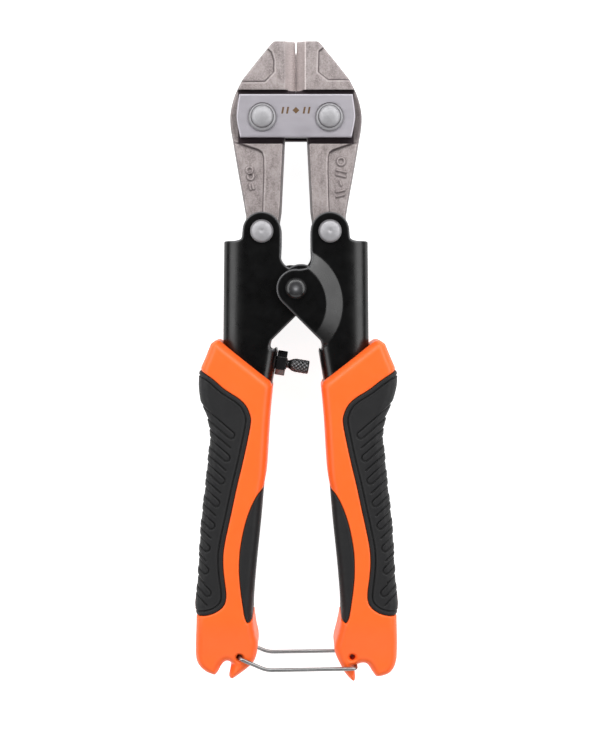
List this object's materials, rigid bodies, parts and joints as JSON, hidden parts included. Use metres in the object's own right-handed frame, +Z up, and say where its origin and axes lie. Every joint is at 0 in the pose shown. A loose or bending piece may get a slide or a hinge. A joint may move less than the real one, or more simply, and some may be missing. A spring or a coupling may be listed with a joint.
{
  "type": "bolt cutters",
  "caption": "Compact bolt cutters with compound-lever jaws, folded steel handle frames, soft-touch moulded grips and a swinging wire latch.",
  "frame": {"origin": "below the middle of the closed tool's outline, at the height of the surface that it lies on", "axes": "+X across the tool to the viewer's right, +Y towards the blade tips, +Z up through the tool's thickness, out of the face with the latch wire's front leg"},
  "size_m": [0.0653, 0.203, 0.0228],
  "materials": {
    "forged_steel": "blasted forging, lightly oiled",
    "plate_steel": "fine ground, satin",
    "rivet_steel": "bright turned dome",
    "black_hardware": "black oxide, satin",
    "frame_paint": "gloss black enamel",
    "spring_steel": "oiled spring wire",
    "grip_moulding": "satin orange moulding",
    "grip_rubber": "matte dark overmould",
    "latch_wire": "bright plated wire"
  },
  "bodies": {
    "left_handle": {"left_handle_frame": "frame_paint", "left_grip_body": "grip_moulding", "left_outer_grip_pad": "grip_rubber", "left_inner_grip_pad": "grip_rubber", "left_handle_rivet": "rivet_steel", "centre_pivot_rivet": "black_hardware", "pivot_bush": "spring_steel", "handle_spring": "spring_steel"},
    "right_handle": {"right_handle_frame": "frame_paint", "right_grip_body": "grip_moulding", "right_outer_grip_pad": "grip_rubber", "right_inner_grip_pad": "grip_rubber", "right_handle_rivet": "rivet_steel"},
    "left_jaw": {"left_jaw": "forged_steel"},
    "right_jaw": {"right_jaw": "forged_steel"},
    "link_plates": {"front_link_plate": "plate_steel", "rear_link_plate": "plate_steel", "left_jaw_rivet": "rivet_steel", "right_jaw_rivet": "rivet_steel"},
    "latch": {"latch_bail": "latch_wire"},
    "lock_nut": {"stop_lock_nut": "black_hardware"},
    "stop_screw": {"stop_screw": "black_hardware"}
  },
  "joints": [
    {"name": "handle_open", "type": "hinge", "parent": "left_handle", "child": "right_handle", "pos_m": [0, 0.0234, 0.0114], "axis": [0, 0, 1], "range_deg": [0, 24]},
    {"name": "left_jaw_swing", "type": "hinge", "parent": "left_handle", "child": "left_jaw", "pos_m": [-0.0107, 0.0414, 0.0114], "axis": [0, 0, 1], "range_deg": [-0.5, 19]},
    {"name": "right_jaw_swing", "type": "hinge", "parent": "right_handle", "child": "right_jaw", "pos_m": [0.0107, 0.0414, 0.0114], "axis": [0, 0, 1], "range_deg": [-19, 0.5]},
    {"name": "link_swing", "type": "hinge", "parent": "left_jaw", "child": "link_plates", "pos_m": [-0.0105, 0.077, 0.0114], "axis": [0, 0, 1], "range_deg": [-6.8, 0.3]},
    {"name": "latch_swing", "type": "hinge", "parent": "left_handle", "child": "latch", "pos_m": [-0.0176, -0.0934, 0.0114], "axis": [0, 0, 1], "range_deg": [-120.5, 0.5]},
    {"name": "stop_screw_turn", "type": "hinge", "parent": "lock_nut", "child": "stop_screw", "pos_m": [-0.00635, -0.00004, 0.0114], "axis": [0.9863, -0.165, 0], "range_deg": [-5, 1085]},
    {"name": "stop_screw_advance", "type": "slide", "parent": "left_handle", "child": "lock_nut", "axis": [0.9863, -0.165, 0], "range_m": [0, 0.0021]}
  ],
  "couplings": [
    {"joint": "left_jaw_swing", "follows": "handle_open", "ratio": 0.7655},
    {"joint": "right_jaw_swing", "follows": "handle_open", "ratio": -0.7655},
    {"joint": "link_swing", "follows": "handle_open", "ratio": -0.2655},
    {"joint": "latch_swing", "follows": "handle_open", "ratio": -5},
    {"joint": "stop_screw_turn", "follows": "stop_screw_advance", "rad_per_m": 8976}
  ]
}
